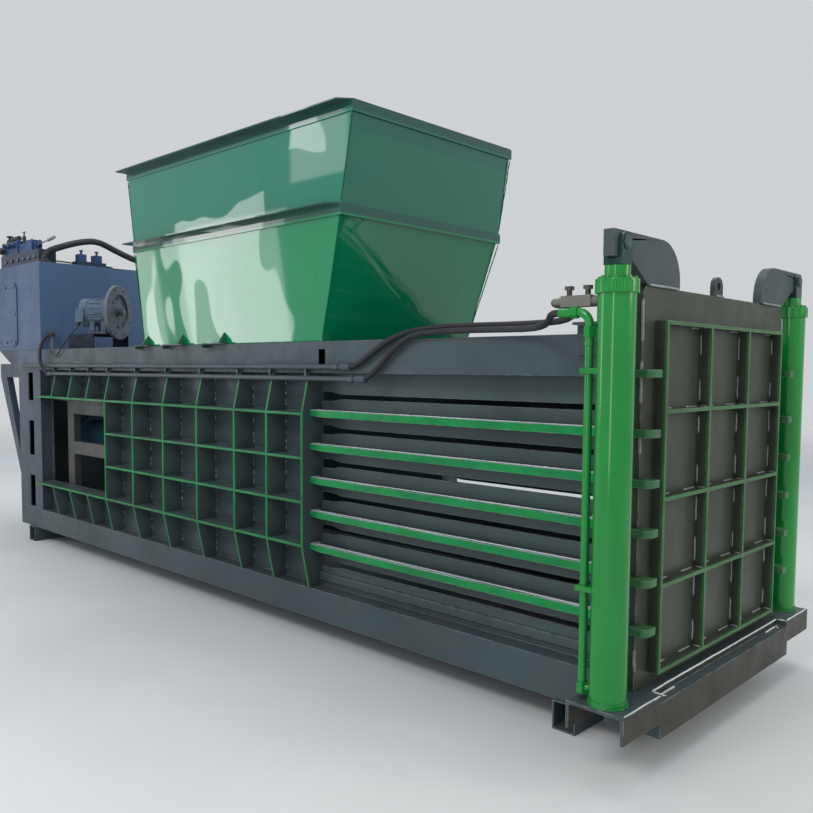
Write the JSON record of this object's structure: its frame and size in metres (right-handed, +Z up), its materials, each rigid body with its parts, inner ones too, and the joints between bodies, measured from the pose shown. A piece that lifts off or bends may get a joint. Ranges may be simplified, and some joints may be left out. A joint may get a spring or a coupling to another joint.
{
  "type": "recycling baler",
  "caption": "Horizontal waste baler with a slatted bale chamber, hydraulic lifting end door, two-tier feed hopper, press ram and rear oil unit",
  "frame": {"origin": "on the floor at the middle of the machine's outline", "axes": "+X along the machine towards the lifting door, +Y to the far side of the picture, +Z up"},
  "size_m": [7.063, 2.008, 3.047],
  "materials": {
    "frame_grey": "satin dark grey enamel",
    "rib_green_edge": "satin dark grey with green front edges",
    "slat_grey": "satin dark grey enamel, bare streaks at the welds",
    "rear_blue_grey": "satin blue grey enamel",
    "claw_green": "green over grey enamel, rubbed",
    "hopper_green": "high gloss green enamel",
    "clip_black": "black enamel",
    "bolt_steel": "zinc plated",
    "valve_blue": "blue enamel",
    "hose_rubber": "matt black wrapped rubber",
    "cable_black": "black sheath",
    "motor_grey": "satin grey enamel",
    "cylinder_green": "high gloss bright green enamel",
    "main_cylinder_blue": "satin enamel",
    "pipe_grey": "satin grey enamel over steel pipe",
    "blade_steel": "ground",
    "door_grey": "satin grey enamel with welding heat marks",
    "rod_chrome": "hard chrome, oiled",
    "pin_steel": "turned",
    "ram_grey": "worn grey enamel"
  },
  "bodies": {
    "root": {"base_frame": "frame_grey", "cross_bearers": "frame_grey", "front_beam": "frame_grey", "chamber_floor": "frame_grey", "ram_wall_near": "frame_grey", "ram_wall_far": "frame_grey", "deck_boxes": "frame_grey", "bale_deck": "frame_grey", "rear_deck": "frame_grey", "rear_crosshead": "frame_grey", "guide_posts": "frame_grey", "valve_bracket": "frame_grey", "ribs_near": "rib_green_edge", "ribs_far": "rib_green_edge", "rib_bars_near": "rib_green_edge", "rib_bars_far": "rib_green_edge", "slat_bars": "rib_green_edge", "slats_near": "slat_grey", "slats_far": "slat_grey", "rear_columns": "rear_blue_grey", "tank_brackets": "rear_blue_grey", "oil_tank": "rear_blue_grey", "tank_cover": "rear_blue_grey", "claws": "claw_green", "hopper_lower": "hopper_green", "hopper_upper": "hopper_green", "hopper_straps": "clip_black", "pipe_clips": "clip_black", "lock_valves": "clip_black", "filler_cap": "clip_black", "valve_manifold": "clip_black", "pressure_gauge": "clip_black", "hex_bolts": "bolt_steel", "valve_bodies": "valve_blue", "suction_hose": "hose_rubber", "pressure_hoses": "hose_rubber", "motor_cable": "cable_black", "motor_stand": "motor_grey", "motor_housing": "motor_grey", "motor_flange": "motor_grey", "fan_cowl": "motor_grey", "terminal_box": "motor_grey", "lift_barrels": "cylinder_green", "lift_heads": "cylinder_green", "lift_pipes": "cylinder_green", "main_barrel": "main_cylinder_blue", "pressure_pipes": "pipe_grey", "shear_blade": "blade_steel"},
    "door": {"door_panel": "door_grey", "door_stiffeners": "door_grey", "lift_arms": "door_grey", "lifting_eye": "door_grey", "lift_rods": "rod_chrome", "lift_pins": "pin_steel"},
    "ram": {"ram_head": "ram_grey", "ram_frame": "ram_grey", "ram_rod": "rod_chrome"},
    "relief_knob": {"relief_knob": "bolt_steel"},
    "hand_lever": {"hand_lever": "bolt_steel"},
    "motor_shaft": {"motor_shaft": "bolt_steel"}
  },
  "joints": [
    {"name": "door_lift", "type": "slide", "parent": "root", "child": "door", "axis": [0, 0, 1], "range_m": [0, 1.25]},
    {"name": "ram_slide", "type": "slide", "parent": "root", "child": "ram", "axis": [1, 0, 0], "range_m": [0, 2.03]},
    {"name": "motor_turn", "type": "hinge", "parent": "root", "child": "motor_shaft", "pos_m": [-1.5935, -0.345, 2.073], "axis": [0.8039, 0.5948, 0], "continuous": true},
    {"name": "lever_swing", "type": "hinge", "parent": "root", "child": "hand_lever", "pos_m": [-2.7705, -0.52, 2.744], "axis": [0, 1, 0], "range_deg": [-25, 12]},
    {"name": "knob_turn", "type": "hinge", "parent": "root", "child": "relief_knob", "pos_m": [-3.1155, -0.52, 2.782], "axis": [0, 0, 1], "range_deg": [-180, 180]}
  ]
}
